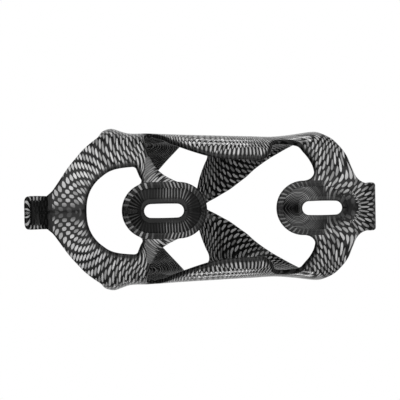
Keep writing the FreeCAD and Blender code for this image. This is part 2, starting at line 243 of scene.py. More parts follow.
def place(s, t):
    """The middle of the wall at flat points, as (x, y, z)."""
    side = np.where(s < 0, -1.0, 1.0)
    angle = np.interp(np.abs(s), arc_lengths, angle_steps)
    z = np.clip(t, FOOT_ROOT, TONGUE_ROOT)
    x = half_width(z) * np.sin(angle)
    bow = half_depth(z) * (np.cos(angle) - 1)
    on_tongue = np.maximum(t - TONGUE_ROOT, 0)
    on_foot = np.maximum(FOOT_ROOT - t, 0)
    bow = bow * (1 - smoothstep(on_tongue, 0, FADE)) * (1 - smoothstep(on_foot, 0, FADE))
    y = AXIS_Y + half_depth(z) + bow
    for run, line, way in ((on_tongue, tongue_line, tongue_run), (on_foot, foot_line, foot_run)):
        y = y + np.interp(run, way, line[:, 0])
        z = z + np.interp(run, way, line[:, 1])
    for boss in BOSSES.values():
        q, inside = boss_fields(boss, x, np.maximum(t, FOOT_ROOT - RIM_BLEND - 1))
        share = smoothstep(inside, -RIM_BLEND, 0) * (np.abs(angle) < BOSS_ANGLE)
        y = y * (1 - share) + boss_depth(boss, q, np.maximum(inside, 0)) * share
    return np.column_stack([x * side, y, z])


def place_normal(s, t):
    """The unit normal of the wall's middle, pointing out of the bottle's space."""
    step = 0.05
    t = np.clip(t, FOOT_TIP + step, TONGUE_TIP - step)
    along_t = place(s, t + step) - place(s, t - step)
    along_s = place(s + step, t) - place(s - step, t)
    normal = np.cross(along_t, along_s)
    return normal / np.linalg.norm(normal, axis=1)[:, None]


# -------- the right half's outline, laid flat
def arc(centre, radius, first, last):
    """Points (x, z) on an arc about (0, centre). Degrees from straight up, towards +x."""
    return [(radius * math.sin(math.radians(a)), centre + radius * math.cos(math.radians(a)))
            for a in np.linspace(first, last, ARC_STEPS)]


def slot_run(middle):
    """Half of a slot's outline, from its bottom to its top."""
    low = arc(middle - SLOT_REACH, SLOT_RADIUS, 180, 90)
    high = arc(middle + SLOT_REACH, SLOT_RADIUS, 90, 0)
    return on_back(*low, *high)


upper, lower = BOSSES["upper"], BOSSES["lower"]
upper_slot, lower_slot = slot_run(upper["slot"]), slot_run(lower["slot"])
TIP_CORNER = 3.0  # radius of the tongue's and the foot's corners


def tip_run(half, tip, direction):
    """A strip's rounded end from its side to the middle line."""
    turn = [(half - TIP_CORNER + TIP_CORNER * math.cos(a), tip - direction * TIP_CORNER * (1 - math.sin(a)))
            for a in np.linspace(0, math.pi / 2, 9)]
    return turn + [(0.0, tip)]


TONGUE_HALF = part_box("top_tongue")[1].x / MM
# The edges in order round the right half. None joins two runs along a middle line.
EDGE_RUNS = [
    # the tongue, the collar and its ear
    tip_run(TONGUE_HALF, TONGUE_TIP, 1)[::-1] + [(TONGUE_HALF, 94.0), (TONGUE_HALF, 92.4), (8.6, 91.0)],
    [(8.6, 91.0)]
    + on_back((10.1, 89.8), (12.5, 88.1), (15.4, 86.3), (20.7, 83.0), (25.4, 79.6), (29.7, 76.3),
              (33.0, 72.9))
    + [around(66, 70.2), around(73, 69.5), around(80, 69.0), around(87, 67.6), around(94, 65.6)]
    + [around(101, 63.6)]
    + on_front((36.0, 61.4), (32.0, 59.3), (24.6, 54.0), (19.5, 50.2)),
    # the claw's tip and lower edge, and the notch between claw and strap
    on_front((19.5, 50.2), (17.4, 48.4), (16.5, 46.8), (17.1, 45.2), (18.8, 43.6)),
    on_front((18.8, 43.6), (24.0, 38.8), (30.6, 32.0), (33.4, 29.0)) + [around(103, 27.4)],
    [around(103, 27.4), around(98, 26.0), around(102, 24.0)],
    # the strap's upper edge
    [around(102, 24.0)]
    + on_front((33.9, 21.6), (31.2, 17.6), (28.6, 15.8), (26.0, 15.9), (22.7, 17.4), (18.8, 19.0),
               (15.3, 20.2), (10.1, 21.5), (4.0, 23.2), (0, 23.8)),
    None,
    # the strap's lower edge, the cradle's front and the foot
    on_front((0, 17.4), (1.2, 16.8), (2.2, 15.5), (3.9, 12.3), (6.9, 7.0), (8.5, 4.2), (12.3, -1.0),
             (16.3, -6.2), (18.5, -8.5), (22.7, -13.7), (26.4, -19.1), (29.3, -24.0), (31.8, -28.5))
    + [around(108, -33.4), around(99, -37.4), around(90, -39.6), around(80, -41.2), around(72, -43.2)]
    + on_back((33.0, -45.4), (29.7, -48.0), (24.2, -51.0), (18.5, -52.6), (14.9, -53.9), (12.6, -55.6))
    + [(FOOT_HALF, -58.0), (FOOT_HALF, -61.0)] + tip_run(FOOT_HALF, FOOT_TIP, -1),
    None,
    lower_slot,
    None,
    # the big window: lower boss, cradle, band and strut
    on_back(*arc(rim_ends(lower)[1], lower["radius"], 0, 84))
    + on_back((13.0, -30.0), (13.9, -32.4), (16.2, -34.2), (19.0, -34.1), (22.7, -32.8), (27.0, -30.2),
              (30.4, -27.6), (31.5, -23.0), (31.9, -19.0), (31.0, -16.9), (27.1, -14.8), (24.7, -12.6)),
    on_back((24.7, -12.6), (23.5, -10.2), (23.8, -6.0), (24.2, 5.0), (25.9, 15.5), (28.0, 22.0),
            (30.5, 28.5), (33.1, 34.8), (35.4, 39.4))
    + [around(80, 43.0), around(85.5, 45.2), around(80, 47.0)]
    + on_back((35.2, 47.2), (31.2, 45.9), (24.6, 43.4), (19.7, 40.3), (16.4, 36.6), (14.4, 32.6)),
    on_back((14.4, 32.6), (13.4, 30.0), *arc(rim_ends(upper)[0], upper["radius"], 92, 180)),
    None,
    upper_slot,
    None,
    # the half-moon opening over the upper boss
    on_back(*arc(rim_ends(upper)[1], upper["radius"], 0, 68))
    + on_back((13.8, 47.6), (16.6, 48.8), (20.3, 50.4)),
    on_back((20.3, 50.4), (21.0, 51.4), (21.0, 53.5), (20.6, 57.2), (19.7, 61.0), (17.9, 64.6),
            (14.9, 68.3), (11.3, 71.0), (6.8, 72.8), (3.0, 73.4), (0, 73.5)),
    None,
]
FIRST_OPENING = 9  # the runs from here on go round the windows


def outline():
    """The flat outline's points, and for the span after each: real edge or not, a slot's or not, its run."""
    points, real, slot, run_of = [], [], [], []
    previous = None
    runs = EDGE_RUNS + [EDGE_RUNS[0]]
    for index, run in enumerate(EDGE_RUNS):
        if run is None:
            ends = np.array([previous, runs[index + 1][0]], float)
            line = resample(ends, SPACING)
            is_real = is_slot = False
        else:
            is_slot = run is upper_slot or run is lower_slot
            line = resample(smooth_curve(run), SLOT_SPACING if is_slot else EDGE_SPACING)
            is_real = True
        points.extend(line[:-1])
        real.extend([is_real] * (len(line) - 1))
        slot.extend([is_slot] * (len(line) - 1))
        run_of.extend([index] * (len(line) - 1))
        previous = line[-1]
    return np.array(points), np.array(real), np.array(slot), np.array(run_of)


def distance_to(points, starts, ends):
    """Distance from each point to the nearest of the spans."""
    nearest = np.full(len(points), 1e9)
    span = ends - starts
    size = (span ** 2).sum(1)
    for first in range(0, len(points), 2000):
        p = points[first:first + 2000, None]
        share = np.clip(((p - starts) * span).sum(2) / size, 0, 1)
        gap = p - (starts + share[..., None] * span)
        nearest[first:first + 2000] = np.sqrt((gap ** 2).sum(2).min(1))
    return nearest


def inside_polygon(points, polygon):
    """Which points are inside, by counting crossings."""
    hit = np.zeros(len(points), bool)
    x, y = points[:, 0], points[:, 1]
    for (x0, y0), (x1, y1) in zip(polygon, np.roll(polygon, -1, axis=0)):
        crosses = (y0 > y) != (y1 > y)
        if crosses.any():
            hit ^= crosses & (x < (x1 - x0) * (y - y0) / (y1 - y0 if y1 != y0 else 1) + x0)
    return hit


polygon, real, slot_span, run_of = outline()
after = np.roll(polygon, -1, axis=0)
edge_spans = (polygon[real & ~slot_span], after[real & ~slot_span])
slot_spans = (polygon[slot_span], after[slot_span])
middle_spans = (polygon[~real], after[~real])
opening = real & ~slot_span & (run_of >= FIRST_OPENING)
opening_spans = (polygon[opening], after[opening])


def signed_distance(points):
    """Distance to the nearest edge, negative outside the outline."""
    away = distance_to(points, *(np.vstack(pair) for pair in zip(edge_spans, slot_spans)))
    return np.where(inside_polygon(points, polygon), away, -away)


def ring_depth(roll, step):
    return roll * (1 - math.cos(math.pi / 2 * step / RING_STEPS))


def ring_points():
    """Points on lines that follow each edge inward, closer together where the skin rolls over."""
    direction = after - polygon
    inward = np.column_stack([direction[:, 1], -direction[:, 0]]) / np.linalg.norm(direction, axis=1)[:, None]
    rings = []
    for is_slot, roll in ((False, EDGE_ROLL), (True, SLOT_ROLL)):
        chosen = real & (slot_span == is_slot)
        came = np.roll(chosen, 1)
        both = inward * chosen[:, None] + np.roll(inward, 1, axis=0) * came[:, None]
        both[chosen != came, 0] = 0
        at = np.where(chosen | came)[0]
        normal = both[at] / np.linalg.norm(both[at], axis=1)[:, None]
        for step in range(1, RING_STEPS + 1):
            depth = ring_depth(roll, step)
            moved = polygon[at] + normal * depth
            true = signed_distance(moved)
            keep = []
            last = np.array([1e9, 1e9])
            for point, gap in zip(moved, true):
                if gap > depth - 0.015 and np.linalg.norm(point - last) > CROWDED:
                    keep.append(point)
                    last = point
            rings.append(np.array(keep))
    return np.vstack(rings)


RING_DEPTHS = [ring_depth(EDGE_ROLL, step) for step in range(1, RING_STEPS + 1)]


def laid_line(points):
    """A line across the layout, with a point wherever it meets a ring and outside each edge it crosses."""
    fine = resample(np.array(points, float), FINE_STEP)
    gap = signed_distance(fine)
    picked = []
    last = -LAID_GAP
    levels = [-BEYOND_EDGE] + RING_DEPTHS
    for index in range(1, len(fine)):
        crosses = any((gap[index - 1] - depth) * (gap[index] - depth) <= 0 for depth in levels)
        deep = gap[index] > EDGE_ROLL and index - last > LAID_GAP
        if crosses or deep:
            picked.append(index)
            last = index
    return [fine[i] for i in picked]


# Where the pieces are cut apart.
flex_angle = math.degrees(math.acos((FLEX_Y - AXIS_Y) / MIDDLE_B))
FLEX_S = around(flex_angle, 0)[0]
CUT_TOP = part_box("band_right")[1].z / MM
CUT_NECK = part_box("band_right")[0].z / MM
BRIDGE_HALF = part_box("front_bridge")[1].x / MM
STRUT_LINE = [(20.2, 51.5), (21.5, 50.0), (25.0, 44.4), (25.6, 42.6)]
UPPER_LINE = [(13.9, 48.8), (13.6, 46.5), (UPPER_RIM, 44.0), (UPPER_RIM, 33.5), (13.9, 31.8), (15.4, 31.2)]
LOWER_LINE = [(14.4, -30.4), (13.4, -31.2), (LOWER_RIM, -33.0), (LOWER_RIM, -38.9)]


def stadium_line(low, high, radius):
    """Half a stadium's line from below to above, starting and ending past the middle line."""
    line = on_back(*arc(low, radius, 180, 90), *arc(high, radius, 90, 0))
    return [(-BEYOND_EDGE, line[0][1])] + line[1:-1] + [(-BEYOND_EDGE, line[-1][1])]


def rim_line(boss, inset):
    return stadium_line(*rim_ends(boss), boss["radius"] - inset)


def land_line(boss):
    return stadium_line(boss["slot"] - SLOT_REACH, boss["slot"] + SLOT_REACH, LAND_RADIUS)


bridge_edge = front(BRIDGE_HALF, 14)[0]
lower_end = rim_ends(lower)[0]
lower_arc = arc(lower_end, LOWER_RIM, 90, 180)
CREASE_HALF = 0.35  # half the width of the strip that holds the crease
LAID_LINES = [
    [(-BEYOND_EDGE, TONGUE_ROOT), (12.5, TONGUE_ROOT)],
    [(-BEYOND_EDGE, FOOT_ROOT), (17.0, FOOT_ROOT)],
    on_back(*STRUT_LINE),
    on_back(*UPPER_LINE),
    on_back(*LOWER_LINE, *lower_arc[1:-1]) + [(-BEYOND_EDGE, lower_end - LOWER_RIM)],
    [around(81, 45.0), around(88, CUT_TOP), (FLEX_S + BEYOND_EDGE, CUT_TOP)],
    [back(30.3, -18.4), back(33.0, CUT_NECK), (FLEX_S + BEYOND_EDGE, CUT_NECK)],
    [(FLEX_S, 64.5), (FLEX_S, -35.0)],
    [(bridge_edge, 25.0), (bridge_edge, 2.0)],
    rim_line(upper, RIM_WIDTH + CREASE_HALF),
    rim_line(upper, RIM_WIDTH),
    rim_line(upper, RIM_WIDTH - CREASE_HALF),
    land_line(upper),
    land_line(lower),
]


def lay_out():
    """The flat layout's triangles: points (s, t) and corner indices."""
    points = [polygon]
    edges = [(i, (i + 1) % len(polygon)) for i in range(len(polygon))]
    count = len(polygon)
    starts, ends = [], []
    for line in LAID_LINES:
        at = laid_line(line)
        points.append(np.array(at))
        for i in range(len(at) - 1):
            edges.append((count + i, count + i + 1))
            starts.append(at[i])
            ends.append(at[i + 1])
        count += len(at)
    line_spans = (np.array(starts), np.array(ends))
    rings = ring_points()
    off_lines = distance_to(rings, *line_spans) > LINE_CLEAR
    off_middle = (rings[:, 0] > LINE_CLEAR) & (rings[:, 0] < FRONT - LINE_CLEAR)
    at_middle = (np.abs(rings[:, 0]) < 1e-9) | (np.abs(rings[:, 0] - FRONT) < 1e-9)
    rings = rings[off_lines & off_middle | at_middle]
    rows = np.arange(FOOT_TIP, TONGUE_TIP, SPACING * math.sqrt(0.75))
    grid = np.array([(s + (SPACING / 2 if i % 2 else 0), t)
                     for i, t in enumerate(rows) for s in np.arange(0, FRONT, SPACING)])
    grid = grid[inside_polygon(grid, polygon)]
    clear = ((distance_to(grid, *edge_spans) > EDGE_ROLL + GRID_CLEAR)
             & (distance_to(grid, *slot_spans) > SLOT_ROLL + SLOT_CLEAR)
             & (distance_to(grid, *middle_spans) > MIDDLE_CLEAR)
             & (distance_to(grid, *line_spans) > GRID_CLEAR))
    everything = np.vstack(points + [rings, grid[clear]])
    made = delaunay_2d_cdt([Vector(p) for p in everything], edges, [list(range(len(polygon)))], 1, 1e-5)
    laid = np.array([tuple(v) for v in made[0]])
    flat = np.array([(face[0], face[k], face[k + 1]) for face in made[2] for k in range(1, len(face) - 1)])
    corner = laid[flat]
    one, two = corner[:, 1] - corner[:, 0], corner[:, 2] - corner[:, 0]
    area = one[:, 0] * two[:, 1] - one[:, 1] * two[:, 0]
    flat[area > 0] = flat[area > 0][:, ::-1]
    flat = flat[(np.abs(area) > 1e-7) & inside_polygon(corner.mean(1), polygon)]
    used, index = np.unique(flat, return_inverse=True)
    return laid[used], index.reshape(-1, 3)


laid, sheet = lay_out()
laid[np.abs(laid[:, 0]) < 1e-3, 0] = 0
laid[np.abs(laid[:, 0] - FRONT) < 1e-3, 0] = FRONT


def rolled(distance, roll):
    """The share of the wall's thickness there is this far in from an edge."""
    return np.sqrt(1 - (1 - np.clip(distance / roll, 0, 1)) ** 2)


edge_gap = distance_to(laid, *edge_spans)
slot_gap = distance_to(laid, *slot_spans)
half_wall = WALL / 2 * np.minimum(rolled(edge_gap, EDGE_ROLL), rolled(slot_gap, SLOT_ROLL))
half_wall[np.minimum(edge_gap, slot_gap) < 1e-4] = 0
sheet = sheet[(half_wall[sheet] > 0).any(1)]

middle = place(laid[:, 0], laid[:, 1])
normal = place_normal(laid[:, 0], laid[:, 1])
on_middle = (laid[:, 0] == 0) | (laid[:, 0] == FRONT)
middle[on_middle, 0] = 0
normal[on_middle, 0] = 0
normal /= np.linalg.norm(normal, axis=1)[:, None]


# -------- which piece each triangle belongs to
def side_of(line, x, z):
    """True where x is less than the line's x at that height."""
    points = np.array(sorted(line, key=lambda p: p[1]))
    return x < np.interp(z, points[:, 1], points[:, 0])


# The parts of the layout in which each cut line counts, where it isn't clear from the line alone.
BOSS_X, BOSS_S = 16, 30
UPPER_SPAN = (12, 60)
LOWER_TOP = -12
STRUT_SPAN = (27, 52)
STRUT_X, STRUT_S = 25.6, 34
CLAW_BOTTOM = 26


def label_pieces():
    """The name of each triangle's piece, without its side."""
    s, t = laid[sheet].mean(1).T
    x = middle[sheet].mean(1)[:, 0]
    near_boss = (x < BOSS_X) & (s < BOSS_S)
    in_upper = (t > UPPER_SPAN[0]) & (t < UPPER_SPAN[1]) & near_boss & side_of(UPPER_LINE, x, t)
    in_strut = (t > STRUT_SPAN[0]) & (t < STRUT_SPAN[1]) & (x < STRUT_X) & (s < STRUT_S) & ~in_upper
    in_strut &= t < np.interp(x, *np.array(STRUT_LINE).T)
    in_lower = (t < LOWER_TOP) & near_boss
    in_lower &= np.where(t > lower_end, side_of(LOWER_LINE, x, t), np.hypot(x, t - lower_end) < LOWER_RIM)
    label = np.where(t > CUT_TOP, "collar", np.where(t > CUT_NECK, "band", "cradle")).astype("U12")
    label[s > FLEX_S] = "strap"
    label[(s > FLEX_S) & (t > CLAW_BOTTOM)] = "claw"
    label[(s > bridge_edge) & (t < CLAW_BOTTOM)] = "front_bridge"
    label[in_strut] = "strut"
    label[in_upper] = "upper_boss"
    label[in_lower] = "lower_boss"
    label[t > TONGUE_ROOT] = "top_tongue"
    label[t < FOOT_ROOT] = "foot"
    return label


label = label_pieces()
SINGLE = {"front_bridge", "upper_boss", "lower_boss", "top_tongue", "foot"}  # pieces without a twin

# -------- the printed pattern, laid on in charts
# The print is a checkerboard of light and dark cells, stretched over the object. A chart gives each point
# six values: its place (u, v) in the checkerboard, the lightness of light cells, half of a light cell's
# size along u and v, and the lightness of the dark between them. The shell's chart is fitted to anchors:
# where one is, the two steps in (s, t) from a light cell to the next dark one, and the lightness there.
ANCHORS = [
    (back(6, 87), (-2.0, -0.3), (-0.5, -2.0), 0.6),
    (back(14, 83), (-2.2, 0.0), (-0.7, -1.65), 0.85),
    (back(9, 86.5), (-2.1, 0.0), (-0.1, -1.6), 0.7),
    (back(6.5, 81.5), (-2.1, -0.1), (-0.8, -1.95), 0.66),
    (back(10, 80), (-2.1, 0.0), (-1.1, -1.9), 0.75),
    (back(4, 76), (-2.3, -0.4), (-1.0, -2.3), 0.25),
    (back(15, 77), (-2.5, -0.15), (-2.4, -1.8), 0.92),
    (back(24, 75), (-2.6, 0.2), (-2.9, -1.5), 0.92),
    (back(22, 70), (-2.35, 0.25), (-4.7, -1.7), 0.92),
    (back(29, 65), (-2.5, 0.45), (-5.7, -1.7), 0.76),
    (around(60, 63), (-2.45, 0.7), (-5.2, -1.1), 0.61),
    (around(85, 60), (-2.4, 0.7), (-5.2, -1.1), 0.54),
    (back(29, 58), (-2.2, 0.55), (-5.6, -1.8), 0.76),
    (back(22, 58), (-1.9, 0.55), (-3.9, -1.5), 0.84),
    (back(24, 64), (-2.2, 0.4), (-4.2, -1.6), 0.88),
    (back(23, 52), (-1.4, 0.6), (-4.8, -2.2), 0.7),
    (around(68, 55), (-1.7, 0.75), (-7.6, -1.35), 0.61),
    (back(29, 53), (-1.55, 0.6), (-7.1, -1.9), 0.81),
    (back(27, 48), (-1.4, 0.6), (-7.3, -2.45), 0.68),
    (around(62, 49), (-1.2, 0.8), (-7.2, -1.45), 0.54),
    (around(60, 24), (-0.25, 1.1), (-5.5, -0.3), 0.8),
    (around(57, 20), (-0.05, 1.15), (-5.6, -0.1), 0.84),
    (back(30, 12), (-0.25, 1.15), (-4.9, 0.3), 0.84),
    (back(27, 5), (-0.3, 1.05), (-6.1, 0.7), 0.84),
    (back(28, -2), (-0.2, 1.0), (-5.5, 0.7), 0.84),
    (around(85, 10), (-0.2, 1.05), (-5.2, 0.2), 0.61),
    (around(90, -20), (0.5, 0.9), (-5.0, 1.2), 0.61),
    (back(30, -40), (1.25, 0.7), (-5.6, 1.35), 0.68),
    (back(20, -42), (2.0, 0.8), (-6.4, 1.45), 0.81),
    (back(25, -40), (1.4, 0.7), (-5.3, 1.45), 0.74),
    (back(15, -44), (2.2, 0.8), (-7.1, 1.95), 0.81),
    (back(28, -36), (1.2, 0.75), (-5.0, 1.55), 0.61),
    (back(17, -35), (1.75, 0.65), (-4.5, 1.5), 0.54),
    (back(17, -47.5), (0.8, 0.95), (-2.9, 1.45), 0.9),
    (back(14, -51), (1.55, 0.96), (-1.2, 1.4), 0.95),
    (back(9, -50), (1.5, 0.6), (-1.4, 1.5), 0.3),
    (back(7, -41), (2.0, 0.25), (-6.0, 3.2), 0.47),
    (back(3, -50), (1.9, 0.0), (0.0, 2.4), 0.16),
    (front(11, 8), (1.4, 0.53), (-2.84, 3.17), 0.54),
    (front(15, 2), (1.65, 0.49), (-2.73, 2.84), 0.54),
    (front(21, 0), (2.05, 0.56), (-3.2, 2.5), 0.5),
    # painted shadow: dark cells where the front's inside lies in shade
    (front(23, 5), (2.0, 0.6), (-3.4, 2.2), 0.35),
    (front(17, -6), (1.55, 0.39), (-1.55, 2.92), 0.56),
    (front(23, -10), (1.8, 0.43), (-1.8, 2.27), 0.56),
    (front(26, -15), (1.87, 0.43), (-1.6, 2.27), 0.56),
    (front(29, -22), (1.8, 0.5), (-1.8, 2.2), 0.5),
    (front(8, 13), (0.9, 0.6), (-2.2, 1.2), 0.4),
    (front(5, 18), (0.5, 0.9), (-2.2, -0.4), 0.5),
    (front(16, 19), (0.3, 0.85), (-2.9, -1.3), 0.55),
    (front(24, 18), (0.3, 0.85), (-2.9, -1.3), 0.45),
    (front(10, 20), (0.3, 0.85), (-2.7, -1.1), 0.5),
    # painted shadow: dark cells where the front's inside lies in shade
    (front(25, 9), (1.6, 0.7), (-3.6, 1.6), 0.12),
    (back(27, -46), (0.8, 0.8), (-3.4, 0.2), 0.75),
    (around(115, 44), (-1.7, 0.4), (-8.0, -2.0), 0.24),
    (front(20, 47), (-1.7, 0.4), (-8.0, -2.0), 0.18),
]
CELL_HALF_U = 0.42
CELL_HALF_V = 0.56
CHART_REACH = 12.0  # how far an anchor's bend in the chart reaches
CHART_SPAN = 60.0  # length that the chart's plain terms are measured in
LIGHT_REACH = 90.0  # squared length over which an anchor's lightness fades
RIDGE = 0.03  # keeps the fit calm between anchors
DARK = 0.006  # the bare film, as on the front
SHELL_DARK = 0.024  # the back's film, with a haze over it
BOSS_DARK = 0.011  # the film is pulled thin over the bosses
STRAP_HIGHLIGHT_PLACE = front(19, 14.5)  # a painted highlight on the strap, shaped as a pale fold
STRAP_HIGHLIGHT_TURN = np.array([[0.9, -0.45], [0.45, 0.9]])
STRAP_HIGHLIGHT_SIZE = (4, 1.6)
STRAP_HIGHLIGHT = 0.07


def chart_terms(points):
    """Value, s-slope and t-slope of each term the shell's chart is made of."""
    centres = np.array([anchor[0] for anchor in ANCHORS])
    gap = (points[:, None] - centres) / CHART_REACH
    bell = np.exp(-(gap ** 2).sum(2) / 2)
    s, t = points.T / CHART_SPAN
    one, none = np.ones_like(s), np.zeros_like(s)
    value = np.column_stack([bell * CHART_REACH]
                            + [term * CHART_SPAN for term in (s, t, s * s, s * t, t * t)])
    slope_s = np.column_stack([-bell * gap[..., 0], one, none, 2 * s, t, none])
    slope_t = np.column_stack([-bell * gap[..., 1], none, one, none, s, 2 * t])
    return value, slope_s, slope_t


def shell_chart(points):
    """The chart whose slopes come closest to the anchors' steps."""
    anchors = np.array([anchor[0] for anchor in ANCHORS])
    steps = np.array([np.column_stack(anchor[1:3]) for anchor in ANCHORS])
    wanted = np.linalg.inv(steps)
    _, slope_s, slope_t = chart_terms(anchors)
    weight = np.sqrt(np.abs(np.linalg.det(steps)))
    system = np.vstack([slope_s * weight[:, None], slope_t * weight[:, None]])
    square = system.T @ system + (RIDGE * np.eye(system.shape[1])) ** 2
    value = chart_terms(points)[0]
    place_uv = []
    for k in range(2):
        goal = np.concatenate([wanted[:, k, 0] * weight, wanted[:, k, 1] * weight])
        place_uv.append(value @ np.linalg.solve(square, system.T @ goal))
    gap = ((points[:, None] - anchors) ** 2).sum(2)
    share = np.exp(-gap / LIGHT_REACH) + 1e-9 / (1 + gap)
    share /= share.sum(1)[:, None]
    light = share @ np.array([anchor[3] for anchor in ANCHORS])
    s, t = points.T
    dark = DARK + (SHELL_DARK - DARK) * (1 - smoothstep(s, FLEX_S - 12, FLEX_S))
    # painted highlight: a pale patch added to the dark between the strap's cells
    highlight_at = (points - STRAP_HIGHLIGHT_PLACE) @ STRAP_HIGHLIGHT_TURN
    dark = dark + STRAP_HIGHLIGHT * np.exp(-(highlight_at[:, 0] / STRAP_HIGHLIGHT_SIZE[0]) ** 2 - (highlight_at[:, 1] / STRAP_HIGHLIGHT_SIZE[1]) ** 2)
    on_strap = smoothstep(s, FLEX_S - 4, FLEX_S + 4) * (1 - smoothstep(t, 24, 30))
    light = light * (1 + 0.25 * on_strap)
    slim = 1 - 0.08 * on_strap
    return np.column_stack([*place_uv, light, CELL_HALF_U * slim, CELL_HALF_V * slim, dark])


def stadium_run(boss, x, z, radius):
    """Position along half a stadium from its lowest point to its highest, and half its length."""
    low, high = rim_ends(boss)
    below = radius * np.arctan2(x, np.maximum(low - z, 0))
    above = radius * (math.pi / 2 - np.arctan2(x, np.maximum(z - high, 0)))
    return below + np.clip(z - low, 0, high - low) + above, math.pi * radius + high - low


def chart_of(u, v, light, half_u, half_v, dark):
    """A chart's six columns. Any of them may be one number."""
    return np.column_stack(np.broadcast_arrays(u, v, light, half_u, half_v, dark))


def crease_highlight(inside):
    """A painted highlight: the thin line of light along the crease at a slope's foot."""
    return 0.2 * np.clip(1 - np.abs(inside - RIM_WIDTH) / 0.3, 0, 1)


def boss_chart(boss, x, z, pitch, light):
    """Streaks down a boss's slope."""
    slope_middle = 7.5
    q, inside = boss_fields(boss, x, z)
    run, whole = stadium_run(boss, x, z, slope_middle)
    share = np.clip(slope_share(q, inside), 0, 1.2)
    light = light * smoothstep(share, 0, 0.15)
    u = run * round(whole / pitch) / whole
    # the dark between the streaks carries the painted crease highlight
    return chart_of(u, (share - 0.5) * 0.9, light, 0.34, 0.6, BOSS_DARK + crease_highlight(inside))


def ring_chart(boss, x, z, light):
    """Grain lines round a point above a boss's slot."""
    centre = boss["slot"] + SLOT_REACH + 6
    pitch = 0.65
    angle = np.arctan2(x, z - centre)
    away = np.hypot(x, z - centre) + 0.7 * np.sin(2 * angle)
    light = light * smoothstep(away, 0.5, 2.5)
    return chart_of(away / pitch, angle / 4, light, 0.3, 0.9, 0.5 * BOSS_DARK)


def rim_chart(boss, x, z, pitch, light, lean, dark):
    """Leaning slivers round a boss's rim."""
    rim_middle = 1.6
    inside = boss_fields(boss, x, z)[1]
    run, whole = stadium_run(boss, x, z, boss["radius"] - rim_middle)
    u = run * np.round(whole / pitch) / whole + lean * (inside - 1.5)
    return chart_of(u, (inside - rim_middle) / 2.6, light, 0.34, 0.5, dark)


def strut_chart(x, z):
    """A plain grey end with a painted highlight, then long streaks towards the boss."""
    x, z = x - 15, z - 38
    # painted highlight: grey lifts the dark and fades the cells over the strut's end
    grey = smoothstep(z + 0.5 * x, 3, 9)
    along = 0.49 * x - 0.87 * z
    across = 0.87 * x + 0.49 * z + 0.02 * along ** 2
    return chart_of(across, along / 7, 0.5 * (1 - grey) + 0.12, 0.36, 0.8, DARK + 0.15 * grey)


FAN_CENTRE = lower["slot"] - 10  # t of the point that the foot's streaks fan out from


def foot_chart(s, t):
    """Streaks that fan out from below the lower slot."""
    pitch_angle, row = 0.095, 3.3
    away = np.hypot(s, t - FAN_CENTRE)
    angle = np.arctan2(s, np.maximum(FAN_CENTRE - t, 0.1))
    light = 0.62 - 0.25 * smoothstep(away, 13, 16)
    return chart_of(angle / pitch_angle, (away - 10.3) / row, light, 0.38, 0.6, DARK)


def tongue_chart(s, t, gap):
    """Light slivers round the lip's rim. The rest of the tongue gets almost no light cells, painted shade
    over its hollow neck.
    """
    lip = {"middle": TONGUE_TIP - 10, "reach": 6}
    run = stadium_run(lip, s, t, 4.5)[0] + np.minimum(t - lip["middle"] + lip["reach"], 0)
    rim = (1 - smoothstep(gap, 1.4, 2.6)) * smoothstep(t, TONGUE_TIP - 13, TONGUE_TIP - 8)
    # painted shade: off the lip's rim the light cells are all but gone
    return chart_of(run / 1.1, (gap - 1.1) / 2.4, 0.012 + 0.5 * rim, 0.4, 0.5, DARK)


# How light each boss's print is, height by height. On the upper boss's slope this is partly painted light, as
# below.
x, t = middle[:, 0], laid[:, 1]
in_upper_rim, in_lower_rim = boss_fields(upper, x, t)[1], boss_fields(lower, x, t)[1]
on_top = t > 40
# painted light: the upper slope's streaks are lighter along the slot's sides, which face the side lamps, and
# darker towards the ends, which face up and down
streaks = 0.02 + 0.26 * smoothstep(t, 24.5, 27.5) * (1 - smoothstep(t, 36, 41))
streaks += 0.06 * smoothstep(t, 46, 49)
upper_rim = 0.04 + 0.38 * smoothstep(t, 21, 25) * (1 - smoothstep(t, 35, 38))
upper_rim += 0.32 * smoothstep(t, 42, 45) * smoothstep(x, 1, 7)
grain = 0.02 + 0.33 * smoothstep(t, -39, -29) * (0.2 + 0.8 * smoothstep(x, 1.5, 5))
lower_rim = 0.02 + 0.22 * smoothstep(t, -32, -27) * smoothstep(x, 1, 5)
upper_lean = 0.2 + 0.6 * (1 - smoothstep(t, 36, 41))
# painted highlight: the crease's line of light lifts the dark of the upper rim
upper_dark_and_highlight = DARK + crease_highlight(in_upper_rim)
CHARTS = [
    shell_chart(laid),
    boss_chart(upper, x, t, 0.68, streaks),
    rim_chart(upper, x, t, np.where(on_top, 1.4, 0.85), upper_rim, upper_lean, upper_dark_and_highlight),
    ring_chart(lower, x, t, grain),
    rim_chart(lower, x, t, 1.0, lower_rim, 0.5, SHELL_DARK),
    foot_chart(laid[:, 0], t),
    tongue_chart(laid[:, 0], t, edge_gap),
    strut_chart(x, t),
]
BACK_S = 40  # beyond this s is the side or the front
# The shell's light cells fade towards the windows' edges, which is painted shade on the rolled edges turned
# away from the lamps; the dark between the cells is darker there too. They also fade towards the middle line,
# the lower land and the lower boss's other charts.
painted_edge_shade = 0.06 + 0.94 * smoothstep(distance_to(laid, *opening_spans), 0.8, 2.5)
centre_fade = np.where(t > 0, 0.15 + 0.85 * smoothstep(x, 1.5, 6), 0.2 + 0.8 * smoothstep(x, 3, 9))
centre_fade[laid[:, 0] > BACK_S] = 1
land_fade = 0.15 + 0.85 * smoothstep(boss_fields(lower, x, t)[0], 3.4, 4.8)
seam_fade = 1 - (1 - smoothstep(-t, 37, 40.5)) * (t < -30) * (in_lower_rim > 0)
CHARTS[0][:, 2] *= painted_edge_shade * centre_fade * land_fade * seam_fade
CHARTS[0][:, 5] *= 0.2 + 0.8 * painted_edge_shade


